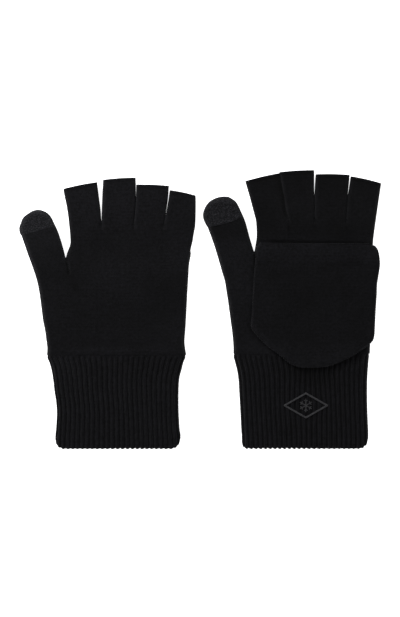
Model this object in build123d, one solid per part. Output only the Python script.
from build123d import *

import math
import os

# Convertible flip-top mittens: a pair of knitted half-finger gloves laid flat, each with a fold-back hood.
#
# The right glove lies back up with its hood on top. The left glove lies palm up with its hood underneath.
# +Z is up, +Y runs from the cuffs to the fingers, and the origin is the bottom centre of the pair's box.
# Every outline is given in a glove's own frame: millimetres from the middle of its cuff's lower edge.

# Fabric and heights of a glove lying back up
KNIT = 1.1                # thickness of one layer of jersey
TIP_KNIT = KNIT + 0.4     # thickness of the touchscreen cap
CUFF_LINING = 0.9         # thickness of the turned-in half of the cuff
SKIN_GAP = 0.05           # air between the cuff and its turned-in half
GLOVE_TOP = 8.4           # height of the back of the hand, with the glove a little open
FINGER_BOTTOM = 2.0       # half fingers lie this high, which leaves room for the closed hood
PANEL = 1.2               # thickness of a hood panel
LAYER_GAP = 0.3           # air between layers that slide over each other
WELT = 1.6                # thickness of the hood's doubled mouth edge
WELT_DEPTH = 17.5         # how far the doubled edge reaches from the mouth
RIM_WIDTH = 1.6           # width of the linked seam round the hood
RIM_GAP = 0.1             # air between the linked seam and the panels inside it
RIM_START = 4.0           # how far down from the hinge the linked seam starts
SEAM_HALF_WIDTH = 0.8     # half the width of the seam that holds the hood to the knuckles
SEAM_HEIGHT = 1.0
SEAM_FROM_THUMB_SIDE = 3.0   # how far the knuckle seam's ends are in from the hood's sides
SEAM_FROM_LITTLE_SIDE = 5.0
EMBROIDERY = 0.8          # height of the satin stitch above the cuff

HOOD_BACK_Z = GLOVE_TOP + LAYER_GAP
HOOD_PALM_Z = HOOD_BACK_Z + PANEL + LAYER_GAP
PAIR_TOP = HOOD_PALM_Z + WELT
HINGE_Z = HOOD_BACK_Z + PANEL / 2
# How far the palm panel must leave the back panel, so that the closed hood holds the fingers between them
HOOD_OPENING = 2 * HINGE_Z - HOOD_PALM_Z + LAYER_GAP - FINGER_BOTTOM

# Plan of the pair
RIGHT_CENTRE_X = 88.9
LEFT_CENTRE_X = -70.0
END_MARGIN = 12.0         # how far a tube is drawn past its open end before it is cut
FINGER_GAP = 0.4
FAR = 100.0               # beyond the edge of any glove, for cutting blocks
CUT_LOW, CUT_HIGH = -5.0, 30.0   # below and above any glove

EDGE_ROUND = 3.6          # rounding of a flattened tube's sides
FINGER_EDGE_ROUND = 2.8
CUFF_CORNER = 1.5         # rounding of the corners of each outline
HAND_CORNER = 1.2
FINGER_CORNER = 2.0
THUMB_CORNER = 4.0
HOOD_CORNER = 4.0

# The thumb narrows a little along its length and ends in a dome
THUMB_TAPER = 0.7
DOME_LENGTH = 11.0
DOME_FLAT = 0.45          # the dome's flat end, as a share of the thumb's width
TIP_GROWTH = 0.6          # how far the touchscreen cap stands out all round
THUMB_MARGIN = 8.0        # how far cutting plans reach past the thumb's sides


def rounded(points, radius):
    """A face with the given corners, each rounded off."""
    face = make_face(Polyline(*points, close=True))
    return fillet(face.vertices(), radius)


def prism(points, low=CUT_LOW, high=CUT_HIGH):
    """A plain block over a plan, for cutting."""
    return extrude(Pos(0, 0, low) * make_face(Polyline(*points, close=True)), high - low)


def pillow(face, low, high, edge_round):
    """A plate over a plan, with its upper and lower rims rounded."""
    plate = extrude(Pos(0, 0, low) * face, high - low)
    ends = plate.faces().sort_by(Axis.Z)
    return fillet(ends[0].edges() + ends[-1].edges(), edge_round)


def tube(face, keep, low, high, wall, edge_round):
    """A flattened knitted tube: a pillow with a hollow, trimmed to the plan in keep."""
    outer = pillow(face, low, high, edge_round)
    hollow = pillow(offset(face, -wall), low + wall, high - wall, edge_round - wall)
    return (outer - hollow) & prism(keep)


class Glove:
    """One glove's plan. Lists of points run up the thumb's side and down the little finger's side."""

    def __init__(self, **plan):
        self.__dict__.update(plan)
        tilt = math.radians(self.thumb_tilt)
        self.along = (-math.sin(tilt), math.cos(tilt))
        self.across = (math.cos(tilt), math.sin(tilt))
        self.thumb_base = self.thumb_point(-self.thumb_width / 2, 0, self.thumb_crotch)

    def thumb_point(self, across, along, start=None):
        """A point given across and along the thumb, from the middle of its base."""
        x, y = start or self.thumb_base
        x += across * self.across[0] + along * self.along[0]
        y += across * self.across[1] + along * self.along[1]
        return (x, y)


RIGHT = Glove(
    name="right",
    cuff_left=[(-53.8, 0), (-54.6, 30), (-56.3, 56), (-59.6, 81)],
    cuff_right=[(54.6, 81), (51.8, 56), (52.8, 25), (54.0, 0)],
    hand_left=[(-59.8, 81), (-60.6, 95), (-63.4, 118), (-66.7, 139)],
    hand_right=[(57.8, 177), (56.6, 150), (55.4, 90), (54.8, 81)],
    index_side=(-40.5, 176),
    knuckle_edge=[(-40.6, 194), (60.4, 194)],
    fingers={
        "index": [(-40.6, 194), (-15.8, 194), (-21.6, 233.4), (-49.6, 227.7)],
        "middle": [(-15.8, 194), (8.1, 194), (7.6, 235.8), (-21.2, 234.3)],
        "ring": [(8.1, 194), (34.8, 194), (37.8, 232.3), (9.2, 232.7)],
        "little": [(34.8, 194), (60.4, 194), (64.2, 224.6), (38.2, 230.5)],
    },
    thumb_crotch=(-42.6, 167),
    thumb_tilt=18.7,
    thumb_width=30.0,
    thumb_length=53.8,
    tip_start=32.6,
    hinge_y=174.0,
    hood=[(-40.8, 174), (-45.8, 102), (-9, 68.2), (18, 68.2), (57.5, 88), (60.5, 131), (64.2, 157),
          (60, 174)],
)

LEFT = Glove(
    name="left",
    cuff_left=[(-52.8, 0), (-52.2, 35), (-54.4, 62), (-60.0, 80)],
    cuff_right=[(57.6, 80), (52.4, 65), (51.3, 38), (53.0, 0)],
    hand_left=[(-60.2, 80), (-60.6, 90), (-63.1, 110), (-65.7, 134)],
    hand_right=[(62.9, 176), (60.2, 155), (58.4, 124), (56.4, 84), (57.7, 80)],
    index_side=(-40.0, 173),
    knuckle_edge=[(-40.3, 190), (65.2, 190)],
    fingers={
        "index": [(-40.3, 190), (-14.2, 190), (-18.0, 225.2), (-45.7, 220.4)],
        "middle": [(-14.2, 190), (13.2, 190), (14.9, 229.0), (-12.2, 228.0)],
        "ring": [(13.2, 190), (38.6, 190), (42.9, 223.2), (15.6, 224.2)],
        "little": [(38.6, 190), (65.2, 190), (65.6, 214.6), (43.7, 219.0)],
    },
    thumb_crotch=(-44.4, 161.1),
    thumb_tilt=21.5,
    thumb_width=26.9,
    thumb_length=47.0,
    tip_start=31.3,
    hinge_y=170.0,
    hood=[(-42.6, 170), (-45.8, 98), (-9, 65), (18, 65), (53.5, 84.5), (57.4, 124), (61.8, 157), (61.8, 170)],
)


def cuff_tube(glove, inset, wall):
    """The cuff's flattened tube, set in from the outline and from the top and bottom."""
    (x0, _), (x1, _) = glove.cuff_left[0], glove.cuff_left[-1]
    (x2, top), (x3, _) = glove.cuff_right[0], glove.cuff_right[-1]
    plan = [(x0, -END_MARGIN), *glove.cuff_left, (x1, top + END_MARGIN)]
    plan += [(x2, top + END_MARGIN), *glove.cuff_right, (x3, -END_MARGIN)]
    face = rounded(plan, CUFF_CORNER)
    if inset:
        face = offset(face, -inset)
    keep = [(-FAR, 0), (FAR, 0), (FAR, top), (-FAR, top)]
    return tube(face, keep, inset, GLOVE_TOP - inset, wall, EDGE_ROUND - inset)


def hand(glove):
    """Palm and back in one tube, open to the cuff, the thumb and the four fingers."""
    (x0, bottom), (x1, _) = glove.hand_left[0], glove.hand_right[-1]
    (left, top), (right, _) = glove.knuckle_edge
    base_left = glove.thumb_point(-glove.thumb_width / 2, 0)
    base_right = glove.thumb_crotch
    past_left = glove.thumb_point(-glove.thumb_width / 2, END_MARGIN)
    past_right = glove.thumb_point(glove.thumb_width / 2, END_MARGIN)
    plan = [(x0, bottom - END_MARGIN), *glove.hand_left, base_left, past_left, past_right, base_right]
    plan += [glove.index_side, (left, top), (left, top + END_MARGIN), (right, top + END_MARGIN)]
    plan += [(right, top), *glove.hand_right, (x1, bottom - END_MARGIN)]
    past_index = left - 2
    keep = [(-FAR, bottom), (FAR, bottom), (FAR, top), (past_index, top), (past_index, glove.index_side[1])]
    keep += [base_right, glove.thumb_point(-glove.thumb_width / 2 - THUMB_MARGIN, 0)]
    return tube(rounded(plan, HAND_CORNER), keep, 0, GLOVE_TOP, KNIT, EDGE_ROUND)


def finger(corners):
    """A half finger: base corners first, then the corners of its open end."""
    half = FINGER_GAP / 2
    (x0, base), (x1, _), (x2, y2), (x3, y3) = corners
    x0, x1, x2, x3 = x0 + half, x1 - half, x2 - half, x3 + half
    drift_left = (x3 - x0) / (y3 - base) * END_MARGIN
    drift_right = (x2 - x1) / (y2 - base) * END_MARGIN
    plan = [(x0 - drift_left, base - END_MARGIN), (x1 - drift_right, base - END_MARGIN)]
    plan += [(x2 + drift_right, y2 + END_MARGIN), (x3 + drift_left, y3 + END_MARGIN)]
    slope = (y2 - y3) / (x2 - x3)
    reach = 10
    keep = [(x0 - 2 * reach, base), (x1 + 2 * reach, base)]
    keep += [(x2 + reach, y2 + reach * slope), (x3 - reach, y3 - reach * slope)]
    return tube(rounded(plan, FINGER_CORNER), keep, FINGER_BOTTOM, GLOVE_TOP, KNIT, FINGER_EDGE_ROUND)


def thumb_plan(glove, grow):
    """The thumb's outline with its domed end, made larger by grow all round."""
    half = glove.thumb_width / 2 + grow
    narrow = half - THUMB_TAPER
    length = glove.thumb_length + grow
    flat, shoulder = narrow * DOME_FLAT, length - DOME_LENGTH
    sides = [(-half, -END_MARGIN), (half, -END_MARGIN), (half, 0), (narrow, glove.tip_start)]
    dome = [(narrow, shoulder), (flat, length), (-flat, length), (-narrow, shoulder)]
    back = [(-narrow, glove.tip_start), (-half, 0)]
    return [glove.thumb_point(*p) for p in sides + dome + back]


def thumb_band(glove, start, end):
    """The plan of a stretch along the thumb, for trimming."""
    reach = glove.thumb_width / 2 + THUMB_MARGIN
    return [glove.thumb_point(*p) for p in [(-reach, start), (reach, start), (reach, end), (-reach, end)]]


def thumb(glove):
    """The jersey part of the thumb, open to the hand and to the fingertip cap."""
    face = rounded(thumb_plan(glove, 0), THUMB_CORNER)
    return tube(face, thumb_band(glove, 0, glove.tip_start), 0, GLOVE_TOP, KNIT, EDGE_ROUND)


def thumb_tip(glove):
    """The thicker touchscreen cap that closes the thumb."""
    face = rounded(thumb_plan(glove, TIP_GROWTH), THUMB_CORNER)
    band = thumb_band(glove, glove.tip_start, glove.thumb_length + THUMB_MARGIN)
    return tube(face, band, 0, GLOVE_TOP, TIP_KNIT, EDGE_ROUND)


def hood_plan(glove):
    """The hood's outline when folded back: mouth at the knuckles, tip over the cuff."""
    return rounded(glove.hood, HOOD_CORNER)


def hood_band(glove, low, high):
    """A block over the stretch of the hood between two distances down from the hinge."""
    y0, y1 = glove.hinge_y - high, glove.hinge_y - low
    return prism([(-FAR, y0), (FAR, y0), (FAR, y1), (-FAR, y1)])


def hood_panel(glove, z, thickness, start, end):
    """A flat hood panel inside the rim seam, between two distances down from the hinge."""
    face = offset(hood_plan(glove), -RIM_WIDTH - RIM_GAP)
    return extrude(Pos(0, 0, z) * face, thickness) & hood_band(glove, start, end)


def hood_rim(glove):
    """The linked seam that joins the two panels round the sides and the tip."""
    face = hood_plan(glove)
    ring = face - offset(face, -RIM_WIDTH)
    height = HOOD_PALM_Z + PANEL - HOOD_BACK_Z
    return extrude(Pos(0, 0, HOOD_BACK_Z) * ring, height) & hood_band(glove, RIM_START, 2 * FAR)


def knuckle_seam(glove):
    """The seam across the knuckles that the hood turns on."""
    left = glove.hood[0][0] + SEAM_FROM_THUMB_SIDE
    right = glove.hood[-1][0] - SEAM_FROM_LITTLE_SIDE
    y = glove.hinge_y
    plan = [(left, y - SEAM_HALF_WIDTH), (right, y - SEAM_HALF_WIDTH)]
    plan += [(right, y + SEAM_HALF_WIDTH), (left, y + SEAM_HALF_WIDTH)]
    return prism(plan, GLOVE_TOP, GLOVE_TOP + SEAM_HEIGHT)


def embroidery():
    """A plain lozenge with a six-armed snow crystal in it, standing on the cuff."""
    centre_x, centre_y = 0.6, 36.6
    half_width, half_height, band, corner = 19.0, 11.0, 1.6, 1.5
    arm_length, arm_width = 9.0, 1.3
    lozenge = [(-half_width, 0), (0, half_height), (half_width, 0), (0, -half_height)]
    face = rounded(lozenge, corner)
    motif = face - offset(face, -band)
    for angle in (0, 60, 120):
        motif += Rot(0, 0, angle) * Rectangle(arm_length, arm_width)
    return extrude(Pos(centre_x, centre_y, GLOVE_TOP) * motif, EMBROIDERY)


def glove_parts(glove):
    """Every piece of one glove, back up, in the glove's own frame."""
    parts = {
        "cuff_outer": cuff_tube(glove, 0, KNIT),
        "cuff_lining": cuff_tube(glove, KNIT + SKIN_GAP, CUFF_LINING),
        "hand": hand(glove),
        "thumb": thumb(glove),
        "thumb_tip": thumb_tip(glove),
        "hood_back": hood_panel(glove, HOOD_BACK_Z, PANEL, 2 * SEAM_HALF_WIDTH, 2 * FAR),
        "hood_palm": hood_panel(glove, HOOD_PALM_Z, PANEL, WELT_DEPTH, 2 * FAR),
        "hood_welt": hood_panel(glove, HOOD_PALM_Z, WELT, 0, WELT_DEPTH),
        "hood_rim": hood_rim(glove),
        "knuckle_seam": knuckle_seam(glove),
        "embroidery": embroidery(),
    }
    for name, corners in glove.fingers.items():
        parts[name + "_finger"] = finger(corners)
    return {glove.name + "_" + name: shape for name, shape in parts.items()}


def build_pair():
    """Both gloves side by side, not yet centred on the origin."""
    pair = {}
    for name, shape in glove_parts(RIGHT).items():
        pair[name] = Pos(RIGHT_CENTRE_X, 0, 0) * shape
    for name, shape in glove_parts(LEFT).items():
        pair[name] = Pos(LEFT_CENTRE_X, 0, PAIR_TOP) * mirror(shape, about=Plane.XY)
    return pair


PAIR = build_pair()
BOX = Compound(list(PAIR.values())).bounding_box()
CENTRE = Vector((BOX.min.X + BOX.max.X) / 2, (BOX.min.Y + BOX.max.Y) / 2, 0)

os.makedirs("parts", exist_ok=True)
for part_name, part_shape in PAIR.items():
    export_step(Pos(-CENTRE) * part_shape, f"parts/{part_name}.step")
print("pair is", round(BOX.size.X, 1), "x", round(BOX.size.Y, 1), "x", round(BOX.size.Z, 1), "mm")
print("each hood's panels part by", round(HOOD_OPENING, 1), "mm as it closes")
